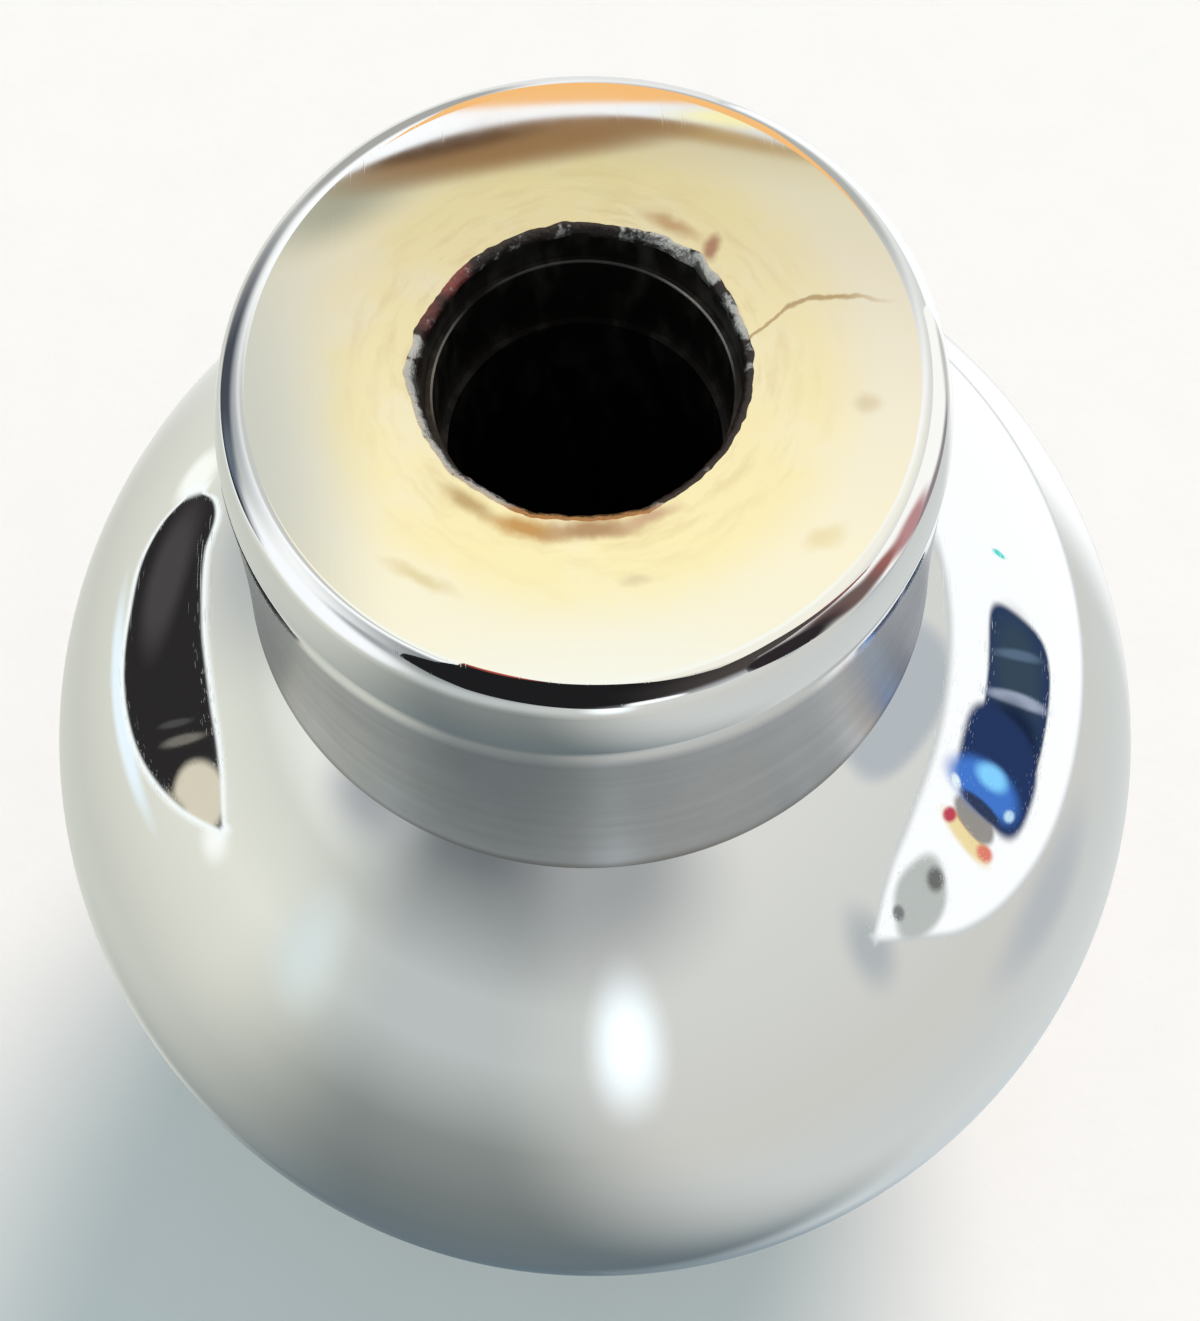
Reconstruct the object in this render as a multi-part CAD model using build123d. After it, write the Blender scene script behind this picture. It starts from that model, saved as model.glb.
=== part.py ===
"""Dash control knob: a plated ball grip on a flared neck, with a stepped blind hole for the shaft.

The knob stands on its front face with the neck up. Lengths are in millimetres and angles in
degrees. The origin is the middle of the front face, and +Z runs along the axis to the hole's mouth.
"""

import os
from math import asin, cos, degrees, radians, sin, sqrt

from build123d import *

# Ball grip
ball_radius = 16.0
front_face_radius = 6.0
front_edge_blend = 0.6

# Neck: heights are measured from the middle of the ball
neck_reach = 22.34
neck_radius = 8.32
flare_radius = 85.0
flare_drop = 8.0

# Rim: a tight edge next to the flat face, then a slow turn into the neck's side
rim_edge_radius = 0.7
brow_radius = 5.0
brow_turn = 18.0

# Hole for the control shaft: lead-in, throat, then the socket
shaft_radius = 3.175
shaft_clearance = 0.02
socket_depth = 15.5
throat_step = 0.17
throat_depth = 3.4
lead_in_step = 0.16
lead_in_depth = 1.0
mouth_chamfer = 0.22

# Sizes that follow from these
ball_height = sqrt(ball_radius**2 - front_face_radius**2)
rim_height = ball_height + neck_reach
turn = radians(brow_turn)
face_radius = neck_radius - brow_radius * (1 - cos(turn)) - rim_edge_radius * cos(turn)
brow_height = rim_height - rim_edge_radius * (1 - sin(turn)) - brow_radius * sin(turn)
flare_turn = degrees(asin(flare_drop / flare_radius))
socket_radius = shaft_radius + shaft_clearance
throat_radius = socket_radius + throat_step
lead_in_radius = throat_radius + lead_in_step
mouth_radius = lead_in_radius + mouth_chamfer


def outline() -> Sketch:
    """Half section of the outside: ball cut flat at the front, flared neck, two-arc rim."""
    with BuildSketch(Plane.XZ) as half:
        with BuildLine():
            Line((0, rim_height), (face_radius, rim_height))
            CenterArc(
                (face_radius, rim_height - rim_edge_radius), rim_edge_radius, 90, brow_turn - 90
            )
            CenterArc((neck_radius - brow_radius, brow_height), brow_radius, brow_turn, -brow_turn)
            flare = CenterArc(
                (neck_radius + flare_radius, brow_height), flare_radius, 180, flare_turn
            )
            Polyline(flare @ 1, (0, ball_height), (0, rim_height))
        make_face()
        with Locations((0, ball_height)):
            Circle(ball_radius)
        Rectangle(2 * ball_radius, rim_height, align=(Align.MIN, Align.MIN), mode=Mode.INTERSECT)
        front_corner = half.vertices().sort_by_distance((front_face_radius, 0))[0]
        fillet(front_corner, front_edge_blend)
    return half.sketch


def socket() -> Sketch:
    """Half section of the hole: chamfered mouth, lead-in, throat, then the shaft's socket."""
    with BuildSketch(Plane.XZ) as half:
        Polygon(
            (0, rim_height),
            (mouth_radius, rim_height),
            (lead_in_radius, rim_height - mouth_chamfer),
            (lead_in_radius, rim_height - lead_in_depth),
            (throat_radius, rim_height - lead_in_depth),
            (throat_radius, rim_height - throat_depth),
            (socket_radius, rim_height - throat_depth),
            (socket_radius, rim_height - socket_depth),
            (0, rim_height - socket_depth),
            align=None,
        )
    return half.sketch


with BuildPart() as knob:
    add(outline())
    revolve(axis=Axis.Z)
    add(socket())
    revolve(axis=Axis.Z, mode=Mode.SUBTRACT)

os.makedirs("parts", exist_ok=True)
export_step(knob.part, "parts/knob.step")
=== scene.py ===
"""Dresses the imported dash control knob: a bright-plated ball grip on a flared neck, in a light tent.

Sizes are written in millimetres and turned to metres once, where a mesh or an object is made. The
knob stands on its front face at the origin with its neck up, and -Y is the side towards the viewer.
"""

import logging
from collections.abc import Callable
from dataclasses import dataclass, field
from enum import Enum
from functools import partial, reduce
from math import atan2, cos, degrees, exp, hypot, radians, sin, sqrt, tau
from typing import Any

import bmesh
import bpy
from mathutils import Matrix, Vector, noise


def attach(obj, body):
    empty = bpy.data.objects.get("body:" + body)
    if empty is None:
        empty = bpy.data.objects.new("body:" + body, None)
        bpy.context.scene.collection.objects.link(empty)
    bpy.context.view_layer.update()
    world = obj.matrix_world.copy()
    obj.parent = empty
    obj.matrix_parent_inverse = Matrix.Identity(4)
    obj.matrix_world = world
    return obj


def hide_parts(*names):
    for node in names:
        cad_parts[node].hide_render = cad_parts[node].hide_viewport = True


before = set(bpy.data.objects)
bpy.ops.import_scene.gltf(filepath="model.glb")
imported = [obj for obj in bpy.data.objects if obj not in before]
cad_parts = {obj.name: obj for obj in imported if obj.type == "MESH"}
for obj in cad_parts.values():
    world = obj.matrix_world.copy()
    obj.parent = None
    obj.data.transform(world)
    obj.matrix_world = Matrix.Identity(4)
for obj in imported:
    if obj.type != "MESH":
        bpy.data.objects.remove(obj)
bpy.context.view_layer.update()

Socket = bpy.types.NodeSocket
Add = Callable[..., Socket]
Colour = tuple[float, float, float, float]
Tone = Colour | Socket
# A place on a chart or in the half section, or the two ends of a range
Point = tuple[float, float]
# Colours by height, from the lowest up
Stops = tuple[tuple[float, str], ...]

log = logging.getLogger("dash_control_knob")

MM = 0.001
# Lengths in millimetres that differ by less than this are taken as equal
TINY = 1e-6
# How bright the tent's white is, where 1 is plain white
LAMP_LEVEL = 1.27


def linear(code: str) -> Colour:
    """Turn an sRGB hex colour into linear RGBA.

    Args:
        code: Six hex digits after a hash sign.

    Returns:
        The linear red, green and blue, with an alpha of 1.
    """
    parts = (int(code[i : i + 2], 16) / 255 for i in (1, 3, 5))
    return (*(p / 12.92 if p <= 0.04045 else ((p + 0.055) / 1.055) ** 2.4 for p in parts), 1.0)


def feed(node: bpy.types.Node, inputs: dict[str | int, Any]) -> None:
    """Link a node's inputs to sockets and set the rest to plain values.

    Args:
        node: The node that is fed.
        inputs: Sockets and plain values, by the input's name or number.
    """
    for name, value in inputs.items():
        if isinstance(value, Socket):
            node.id_data.links.new(value, node.inputs[name])
        else:
            node.inputs[name].default_value = value


def add_node(
    tree: bpy.types.NodeTree, kind: str, inputs: Any = (), out: int = 0, **settings: Any
) -> Socket:
    """Add one shader node with its settings and whatever feeds it.

    Args:
        tree: The node tree that gets the node.
        kind: The node's type, without the ShaderNode that Blender puts before it.
        inputs: Sockets and plain values, in order from the first input, or by name or number.
        out: Number of the output that is wanted.
        **settings: Properties of the node. stops fills a colour ramp, curve a float curve.

    Returns:
        The wanted output's socket.
    """
    node = tree.nodes.new("ShaderNode" + kind)
    for place, colour in settings.pop("stops", ()):
        ramp = node.color_ramp.elements
        stop = ramp[0] if place == 0 else ramp[-1] if place == 1 else ramp.new(place)
        stop.color = linear(colour)
    for i, point in enumerate(settings.pop("curve", ())):
        points = node.mapping.curves[0].points
        if i < 2:
            points[i].location = point
        else:
            points.new(*point)
    for name, value in settings.items():
        setattr(node, name, value)
    feed(node, inputs if isinstance(inputs, dict) else dict(enumerate(inputs)))
    return node.outputs[out]


@dataclass(frozen=True)
class Spot:
    """A soft-edged patch of colour on a flat chart.

    The chart is either the knob seen from above, in millimetres, or the tent's wall as seen from the
    knob, in degrees: the azimuth is 0 towards the viewer and grows to the right, and the elevation
    is above the horizon.

    The tilt turns the patch counter-clockwise in degrees. The softness is the width of its edge as a
    share of its half sizes. It is an ellipse at a squareness of 2 and boxier above that.
    """

    x: float
    y: float
    half_width: float
    half_height: float
    colour: str = "#FFFFFF"
    tilt: float = 0.0
    softness: float = 0.15
    squareness: float = 2.0
    strength: float = 1.0

    def shade(self) -> Colour:
        """The spot's linear colour at its strength."""
        return (*(part * self.strength for part in linear(self.colour)[:3]), 1.0)

    def mask(self, add: Add, chart: Socket) -> Socket:
        """Find how far each point of a chart lies inside the spot.

        Args:
            add: Adds a node to the tree.
            chart: The point's place on the chart, with a height of 0.

        Returns:
            A share from 0 outside the soft edge to 1 inside it.
        """
        size = (self.half_width, self.half_height, 1.0)
        placing = {"Vector": chart, "Location": (self.x, self.y, 0.0), "Scale": size}
        placing["Rotation"] = (0.0, 0.0, radians(self.tilt))
        local = add("Mapping", placing, vector_type="TEXTURE")
        power = 1.0
        if self.squareness == 2.0:
            reach = add("VectorMath", (local,), 1, operation="LENGTH")
        else:
            power = self.squareness
            local = add("VectorMath", (local,), operation="ABSOLUTE")
            local = add("VectorMath", (local, (power,) * 3), operation="POWER")
            reach = add("VectorMath", (local, (1, 1, 0)), 1, operation="DOT_PRODUCT")
        outer = (1.0 + self.softness / 2) ** power
        inner = max(1.0 - self.softness / 2, 0.0) ** power
        span = {"Value": reach, "From Min": outer, "From Max": inner}
        return add("MapRange", span, interpolation_type="SMOOTHSTEP")

    def paint(self, add: Add, chart: Socket, under: Tone) -> Socket:
        """Lay the spot over a colour.

        Args:
            add: Adds a node to the tree.
            chart: The point's place on the chart, with a height of 0.
            under: The colour beneath, as a socket or as linear RGBA.

        Returns:
            The colour with the spot on it.
        """
        layers = {0: self.mask(add, chart), 6: under, 7: self.shade()}
        return add("Mix", layers, 2, data_type="RGBA")


def strongest(add: Add, chart: Socket, spots: tuple[Spot, ...]) -> Socket:
    """Find how far a point of a chart lies inside any of some spots.

    Args:
        add: Adds a node to the tree.
        chart: The point's place on the chart, with a height of 0.
        spots: The spots. Their strength weighs them.

    Returns:
        The highest of the spots' shares.
    """
    shares = []
    for spot in spots:
        share = (spot.mask(add, chart), spot.strength)
        shares.append(add("Math", share, operation="MULTIPLY"))
    return reduce(lambda a, b: add("Math", (a, b), operation="MAXIMUM"), shares)


def grain(add: Add, place: Socket, size: float, depth: float, detail: float) -> Socket:
    """Raise an uneven grain on a surface.

    Args:
        add: Adds a node to the tree.
        place: The place on the surface in millimetres.
        size: How far apart the grain's bumps are, in millimetres.
        depth: How high they stand, in millimetres.
        detail: How many finer grains are laid over the first.

    Returns:
        The normal of the grained surface.
    """
    bumps = {"Vector": place, "Scale": 1.0 / size, "Detail": detail}
    return add("Bump", {"Height": add("TexNoise", bumps), "Distance": depth * MM})


def climb(elevation: float) -> float:
    """How far up an elevation in degrees lies, from 0 at the nadir to 1 at the zenith."""
    return (elevation + 90.0) / 180.0


def flatten(add: Add, place: Socket) -> Socket:
    """Drop a place's height, which leaves the chart of the knob from above."""
    return add("VectorMath", (place, (1, 1, 0)), operation="MULTIPLY")


def put_in_scene(
    shape: bmesh.types.BMesh, name: str, *materials: bpy.types.Material
) -> bpy.types.Object:
    """Make a built shape an object of the scene.

    Args:
        shape: The shape, which is used up.
        name: The name of the object and its mesh.
        *materials: Its materials, in the order of their slots.

    Returns:
        The object, at the origin.
    """
    mesh = bpy.data.meshes.new(name)
    shape.to_mesh(mesh)
    shape.free()
    for material in materials:
        mesh.materials.append(material)
    thing = bpy.data.objects.new(name, mesh)
    bpy.context.scene.collection.objects.link(thing)
    return thing


class Zone(Enum):
    """The stretches of the knob's skin that differ in finish."""

    PLATING = 0
    NECK = 1
    FACE = 2
    LIP = 3
    SOCKET = 4


def start_material(name: str) -> tuple[bpy.types.Material, Add, bpy.types.Node, Socket]:
    """Start a material.

    Args:
        name: The material's name.

    Returns:
        The material, what adds a node to it, its shader, and the place on the piece in millimetres.
    """
    material = bpy.data.materials.new(name)
    material.use_nodes = True
    add = partial(add_node, material.node_tree)
    metres = add("TexCoord", out=3)
    place = add("VectorMath", {0: metres, "Scale": 1.0 / MM}, operation="SCALE")
    return material, add, material.node_tree.nodes["Principled BSDF"], place


@dataclass(frozen=True)
class BrightPlating:
    """Bright chrome over moulded ABS.

    A mirror with a faint cool tone. Handling leaves it a little hazed in blotches, polishing leaves
    sparse hairlines, and the moulding under it is not quite even, so reflections waver slightly.
    """

    name: str = "bright_chrome_plating"
    tint: str = "#E3E5E6"
    roughness: float = 0.016
    haze: float = 0.042
    haze_size: float = 7.0
    # The noise at which the haze begins and at which it is full
    haze_cut: Point = (0.42, 0.72)
    sink_size: float = 6.5
    sink_depth: float = 0.003
    hair_length: float = 2.8
    # A real hairline is about 0.01 mm across. It is drawn wider so that it shows at all.
    hair_width: float = 0.045
    hair_depth: float = 0.00015
    hair_roughness: float = 0.045
    # Only the highest peaks of the noise are cut out as marks
    hair_cut: Point = (0.74, 0.80)
    # Turns about X, Y and Z in radians, one for each set of marks
    hair_turns: tuple[tuple[float, float, float], ...] = ((0.5, 0.2, 0.7), (-0.4, 1.1, -0.9))

    def make(self) -> bpy.types.Material:
        """Build the material.

        Returns:
            The material.
        """
        material, add, shader, place = start_material(self.name)
        blotches = {"Vector": place, "Scale": 1.0 / self.haze_size, "Detail": 4.0, "Roughness": 0.6}
        clear, hazed = self.haze_cut
        span = {"Value": add("TexNoise", blotches), "From Min": clear, "From Max": hazed}
        rough = add("MapRange", span | {"To Min": self.roughness, "To Max": self.haze})
        marks = self.hairlines(add, place)
        rough = add("Mix", {0: marks, 2: rough, 3: self.hair_roughness}, data_type="FLOAT")
        uneven = grain(add, place, self.sink_size, self.sink_depth, 1.0)
        cut = {"Height": marks, "Distance": self.hair_depth * MM, "Normal": uneven}
        finish = {
            "Metallic": 1.0,
            "Base Color": self.colour(add, place),
            "Roughness": self.worn_roughness(add, place, rough),
            "Normal": add("Bump", cut, invert=True),
        }
        feed(shader, finish)
        return material

    def hairlines(self, add: Add, place: Socket) -> Socket:
        """Draw sparse polishing marks in crossing directions.

        Args:
            add: Adds a node to the material.
            place: The place on the knob in millimetres.

        Returns:
            A share from 0 off the marks to 1 on them.
        """
        sets = []
        for turn in self.hair_turns:
            width, length = 1.0 / self.hair_width, 1.0 / self.hair_length
            aim = {"Vector": place, "Rotation": turn, "Scale": (width, length, width)}
            streaks = {"Vector": add("Mapping", aim), "Scale": 1.0, "Detail": 0.0}
            off, on = self.hair_cut
            cut = {"Value": add("TexNoise", streaks), "From Min": off, "From Max": on}
            sets.append(add("MapRange", cut))
        return add("Math", sets, operation="MAXIMUM")

    def colour(self, add: Add, place: Socket) -> Tone:
        """The metal's colour, which is even on this plating."""
        return linear(self.tint)

    def worn_roughness(self, add: Add, place: Socket, rough: Socket) -> Socket:
        """Add wear to the roughness. There is none on this plating."""
        return rough


@dataclass(frozen=True)
class WornFace(BrightPlating):
    """The same chrome on the flat end face, rubbed by the panel it was pressed against.

    The nickel under it warms the metal in a ring round the hole. A hairline crack runs from the hole
    to the right, brown dirt sits below the hole, and small stains are strewn over the rest.
    """

    name: str = "worn_chrome_face"
    haze: float = 0.032
    haze_size: float = 3.2
    sink_depth: float = 0.001
    hair_width: float = 0.06
    hair_depth: float = 0.00003
    hair_roughness: float = 0.025
    nickel: str = "#E5E2C9"
    # The radius within which the metal is warm, and the one beyond which it isn't
    ring: Point = (5.0, 6.7)
    crack: tuple[Point, ...] = (
        (3.54, 0.46), (4.00, 0.82), (4.94, 1.54), (5.83, 1.57), (6.81, 1.45), (7.2, 1.36),
    )
    # A real crack is about 0.01 mm across. It is drawn wider so that it shows at all.
    crack_width: float = 0.05
    # Where its edge ends and where it is whole, as shares of that width
    crack_edge: Point = (1.8, 0.4)
    crack_start_fade: float = 0.1
    crack_end_fade: float = 1.6
    # The line is drawn on a curve that is this high
    crack_rise: float = 2.0
    crack_tone: str = "#B7A68C"
    stains: tuple[Spot, ...] = (
        Spot(-2.55, -3.2, 0.6, 0.16, "#B5A383", tilt=-36.0, softness=1.6),
        Spot(-1.3, -3.85, 0.75, 0.22, "#B79468", tilt=-16.0, softness=1.3),
        Spot(0.1, -3.95, 0.9, 0.2, "#A98E78", tilt=2.0, softness=1.4),
        Spot(1.3, -3.7, 0.6, 0.14, "#BFA898", tilt=20.0, softness=1.5),
        Spot(2.1, 3.62, 0.6, 0.16, "#C2AC90", tilt=-30.0, softness=1.6),
        Spot(3.0, 3.0, 0.16, 0.3, "#AB8B7E", tilt=-14.0, softness=1.4),
        Spot(-3.6, -4.9, 0.7, 0.14, "#D2CDB9", tilt=-30.0, softness=1.7),
        Spot(0.95, -5.15, 0.3, 0.12, "#D2CDBC", softness=1.6),
        Spot(6.15, -1.1, 0.26, 0.2, "#D2CEC4", softness=1.6),
        Spot(5.0, -4.3, 0.4, 0.2, "#DAD6C6", tilt=30.0, softness=1.7),
    )
    ragged: float = 0.16
    ragged_size: float = 0.5
    patch_size: float = 1.8182
    patch_cut: Point = (0.1, 0.5)
    wrinkle: str = "#D6CEB2"
    # How long a ripple is round the hole and how wide across it, then the radii where the ripples
    # begin and where they are strongest
    wrinkle_size: Point = (1.3, 0.26)
    wrinkle_reach: Point = (5.9, 3.9)
    wrinkle_cut: Point = (0.48, 0.8)
    dull_reach: Point = (4.8, 3.8)
    dull_by: float = 0.06

    def colour(self, add: Add, place: Socket) -> Socket:
        """Warm the metal round the hole, then add the ripples, the stains and the crack.

        Args:
            add: Adds a node to the material.
            place: The place on the knob in millimetres.

        Returns:
            The metal's colour.
        """
        # Noise moves each place a little, so that whatever is drawn there has a ragged outline
        mottle = {"Vector": place, "Scale": 1.0 / self.ragged_size, "Detail": 5.0}
        spread = add("TexNoise", mottle, 1)
        off = add("VectorMath", (spread, (0.5, 0.5, 0.5)), operation="SUBTRACT")
        by = (self.ragged * 2, self.ragged * 2, 0)
        drift = add("VectorMath", (off, by, flatten(add, place)), operation="MULTIPLY_ADD")
        radius = add("VectorMath", (drift,), 1, operation="LENGTH")
        fade = {"Value": radius, "From Min": self.ring[1], "From Max": self.ring[0]}
        warm = add("MapRange", fade, interpolation_type="SMOOTHSTEP")
        cloud = {"Vector": place, "Scale": 1.0 / self.patch_size, "Detail": 4.0}
        low, high = self.patch_cut
        patchy = {"Value": add("TexNoise", cloud), "From Min": low, "From Max": high}
        warm = add("Math", (warm, add("MapRange", patchy)), operation="MULTIPLY")
        layers = {0: warm, 6: linear(self.tint), 7: linear(self.nickel)}
        tone = add("Mix", layers, 2, data_type="RGBA")
        layers = {0: self.wrinkles(add, drift, radius), 6: tone, 7: linear(self.wrinkle)}
        tone = add("Mix", layers, 2, data_type="RGBA")
        for stain in self.stains:
            tone = stain.paint(add, drift, tone)
        layers = {0: self.crack_line(add, drift), 6: tone, 7: linear(self.crack_tone)}
        return add("Mix", layers, 2, data_type="RGBA")

    def wrinkles(self, add: Add, chart: Socket, radius: Socket) -> Socket:
        """Draw the fine ripples of tarnish that run round the hole.

        Args:
            add: Adds a node to the material.
            chart: The place on the face in millimetres.
            radius: The distance from the axis in millimetres.

        Returns:
            A share from 0 between the ripples to 1 on them.
        """
        # The noise is looked up along the circle on X and Y, and across it on Z
        length, width = self.wrinkle_size
        middle = sum(self.wrinkle_reach) / 2
        way = add("VectorMath", (chart,), operation="NORMALIZE")
        rise = add("CombineXYZ", {2: radius})
        rise = add("VectorMath", {0: rise, "Scale": 1.0 / width}, operation="SCALE")
        turned = (way, (middle / length,) * 3, rise)
        ripple = add("VectorMath", turned, operation="MULTIPLY_ADD")
        pattern = add("TexNoise", {"Vector": ripple, "Scale": 1.0, "Detail": 4.0})
        shares = []
        for value, (none, full) in ((pattern, self.wrinkle_cut), (radius, self.wrinkle_reach)):
            shares.append(add("MapRange", {"Value": value, "From Min": none, "From Max": full}))
        return add("Math", shares, operation="MULTIPLY")

    def crack_line(self, add: Add, chart: Socket) -> Socket:
        """Draw the hairline crack, which fades towards its far end.

        Args:
            add: Adds a node to the material.
            chart: The place on the face in millimetres.

        Returns:
            A share from 0 off the line to 1 on it.
        """
        start, end = self.crack[0][0], self.crack[-1][0]
        x, y, _ = add("SeparateXYZ", (chart,)).node.outputs
        along = add("MapRange", {"Value": x, "From Min": start, "From Max": end})
        rise = self.crack_rise
        curve = tuple(((px - start) / (end - start), py / rise) for px, py in self.crack)
        middle = add("FloatCurve", {1: along}, curve=curve)
        off = add("Math", (middle, -rise, y), operation="MULTIPLY_ADD")
        off = add("Math", (off,), operation="ABSOLUTE")
        outer, inner = (self.crack_width * share for share in self.crack_edge)
        limits = (
            (off, outer, inner),
            (x, start - self.crack_start_fade, start + self.crack_start_fade),
            (x, end, end - self.crack_end_fade),
        )
        shares = []
        for value, none, full in limits:
            reach = {"Value": value, "From Min": none, "From Max": full}
            shares.append(add("MapRange", reach, interpolation_type="SMOOTHSTEP"))
        return reduce(lambda a, b: add("Math", (a, b), operation="MULTIPLY"), shares)

    def worn_roughness(self, add: Add, place: Socket, rough: Socket) -> Socket:
        """Make the metal duller towards the hole.

        Args:
            add: Adds a node to the material.
            place: The place on the knob in millimetres.
            rough: The roughness so far.

        Returns:
            The roughness with the wear added.
        """
        radius = add("VectorMath", (flatten(add, place),), 1, operation="LENGTH")
        far, near = self.dull_reach
        fade = {"Value": radius, "From Min": far, "From Max": near, "To Max": self.dull_by}
        dull = add("MapRange", fade, interpolation_type="SMOOTHSTEP")
        return add("Math", (rough, dull), operation="ADD")


@dataclass(frozen=True)
class SatinPlating:
    """The same chrome where the neck was less well buffed.

    Reflections blur and darken. Faint turned streaks run round it, and it is darker in a narrow band
    at the corner where it meets the ball. Near the rim it is buffed almost bright.
    """

    name: str = "satin_chrome_neck"
    tint: str = "#B2B4B8"
    shade: str = "#A8AAAD"
    roughness: Point = (0.31, 0.37)
    # Real turning marks are finer. They are drawn as coarse as they need to show.
    streak_height: float = 0.35
    streak_length: float = 8.3333
    cloud_size: float = 2.6
    cloud_cut: Point = (0.35, 0.65)
    streak_depth: float = 0.0004
    # A darker band at the corner where the neck meets the ball, ragged at its top
    darker_foot_tone: str = "#6B6660"
    darker_foot_height: float = 0.45
    # The darker band ends this many times its height above the neck's foot
    darker_foot_fade: float = 1.6
    buffed_height: float = 0.9
    buffed_roughness: float = 0.1

    def make(self) -> bpy.types.Material:
        """Build the material.

        Returns:
            The material.
        """
        material, add, shader, place = start_material(self.name)
        slow = 1.0 / self.streak_length
        round_it = {"Vector": place, "Scale": (slow, slow, 1.0 / self.streak_height)}
        lines = {"Vector": add("Mapping", round_it), "Scale": 1.0, "Detail": 3.0}
        streaks = add("TexNoise", lines)
        cloud = {"Vector": place, "Scale": 1.0 / self.cloud_size, "Detail": 4.0, "Roughness": 0.6}
        clouds = add("TexNoise", cloud)
        mixed = add("Mix", {0: 0.5, 2: streaks, 3: clouds}, data_type="FLOAT")
        low, high = self.cloud_cut
        uneven = add("MapRange", {"Value": mixed, "From Min": low, "From Max": high})
        height = add("SeparateXYZ", (place,), 2)
        # The darker band at the neck's foot, with a ragged top
        ragged = add("Math", (clouds, self.darker_foot_height, height), operation="MULTIPLY_ADD")
        foot, top = Knob().foot_height, Knob().brow_height
        fade = {"Value": ragged, "From Min": foot + self.darker_foot_height * self.darker_foot_fade}
        darker_foot = add("MapRange", fade | {"From Max": foot}, interpolation_type="SMOOTHSTEP")
        reach = {"Value": height, "From Min": top - self.buffed_height, "From Max": top}
        buffed = add("MapRange", reach, interpolation_type="SMOOTHERSTEP")
        colour: Tone = linear(self.tint)
        for share, over in ((uneven, self.shade), (darker_foot, self.darker_foot_tone), (buffed, BrightPlating().tint)):
            layers = {0: share, 6: colour, 7: linear(over)}
            colour = add("Mix", layers, 2, data_type="RGBA")
        span = {"Value": uneven, "To Min": self.roughness[0], "To Max": self.roughness[1]}
        rough = {0: buffed, 2: add("MapRange", span), 3: self.buffed_roughness}
        finish = {
            "Metallic": 1.0,
            "Base Color": colour,
            "Roughness": add("Mix", rough, data_type="FLOAT"),
            "Normal": add("Bump", {"Height": streaks, "Distance": self.streak_depth * MM}),
        }
        feed(shader, finish)
        return material


@dataclass(frozen=True)
class ChippedLip:
    """The hole's lip, where the plating has flaked off the moulded ABS.

    Rough grey-white metal alternates with dark bare plastic. Red primer shows at the upper left, and
    the metal is tarnished brown on the near side.
    """

    name: str = "chipped_lip"
    metal: str = "#C3C4C1"
    bare: str = "#2B2320"
    flake_size: float = 0.42
    roughness: Point = (0.22, 0.55)
    # Broken plastic is grained more finely than this. It is drawn as coarse as it needs to show.
    pit_size: float = 0.11
    pit_depth: float = 0.03
    bright: tuple[Spot, ...] = (
        Spot(1.95, 3.15, 0.62, 0.3, tilt=-32.0, softness=0.8),
        Spot(2.75, 2.5, 0.5, 0.28, tilt=-46.0, softness=0.8),
        Spot(3.35, 1.3, 0.24, 0.8, tilt=20.0, softness=0.9, strength=0.6),
        Spot(-3.7, 0.75, 0.25, 0.3, softness=0.8),
        Spot(-3.75, -0.2, 0.3, 0.55, softness=0.8),
        Spot(-3.35, -1.7, 0.36, 1.3, tilt=28.0, softness=0.7, strength=0.9),
        Spot(-2.1, -3.1, 0.36, 1.1, tilt=58.0, softness=0.7, strength=0.9),
        Spot(-0.2, -3.65, 2.2, 0.35, softness=0.6, strength=1.0),
        Spot(-0.3, 3.6, 0.16, 0.3, softness=0.8, strength=0.45),
        Spot(1.1, 3.45, 0.2, 0.3, softness=0.8, strength=0.45),
    )
    primer: str = "#80433E"
    primed: tuple[Spot, ...] = (
        Spot(-2.8, 2.4, 0.28, 0.45, tilt=-42.0, softness=0.9),
        Spot(-3.35, 1.5, 0.25, 0.4, tilt=-22.0, softness=1.0, strength=0.45),
    )
    tarnish: str = "#B58E62"
    tarnished: Spot = Spot(-0.3, -3.7, 2.3, 0.5, softness=0.6)
    # How far a bright spot lifts the flakes' noise, and the cut at which the plating is left
    lift: float = 0.30
    plated_cut: Point = (0.58, 0.72)
    bare_metallic: float = 0.15

    def make(self) -> bpy.types.Material:
        """Build the material.

        Returns:
            The material.
        """
        material, add, shader, place = start_material(self.name)
        flat = flatten(add, place)
        flakes = {"Vector": place, "Scale": 1.0 / self.flake_size, "Detail": 4.0, "Roughness": 0.65}
        flake = add("TexNoise", flakes)
        kept = strongest(add, flat, self.bright)
        lifted = add("Math", (kept, self.lift, flake), operation="MULTIPLY_ADD")
        none, full = self.plated_cut
        edge = {"Value": lifted, "From Min": none, "From Max": full}
        plated = add("MapRange", edge, interpolation_type="SMOOTHSTEP")
        colour: Tone = linear(self.bare)
        for spot in self.primed:
            share = (spot.mask(add, flat), spot.strength)
            layers = {0: add("Math", share, operation="MULTIPLY"), 6: colour}
            colour = add("Mix", layers | {7: linear(self.primer)}, 2, data_type="RGBA")
        layers = {0: self.tarnished.mask(add, flat), 6: linear(self.metal), 7: linear(self.tarnish)}
        metal = add("Mix", layers, 2, data_type="RGBA")
        span = {"Value": flake, "To Min": self.roughness[0], "To Max": self.roughness[1]}
        finish = {
            "Base Color": add("Mix", {0: plated, 6: colour, 7: metal}, 2, data_type="RGBA"),
            "Metallic": add("MapRange", {"Value": plated, "To Min": self.bare_metallic}),
            "Roughness": add("MapRange", span),
            "Normal": grain(add, place, self.pit_size, self.pit_depth, 3.0),
        }
        feed(shader, finish)
        return material


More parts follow.
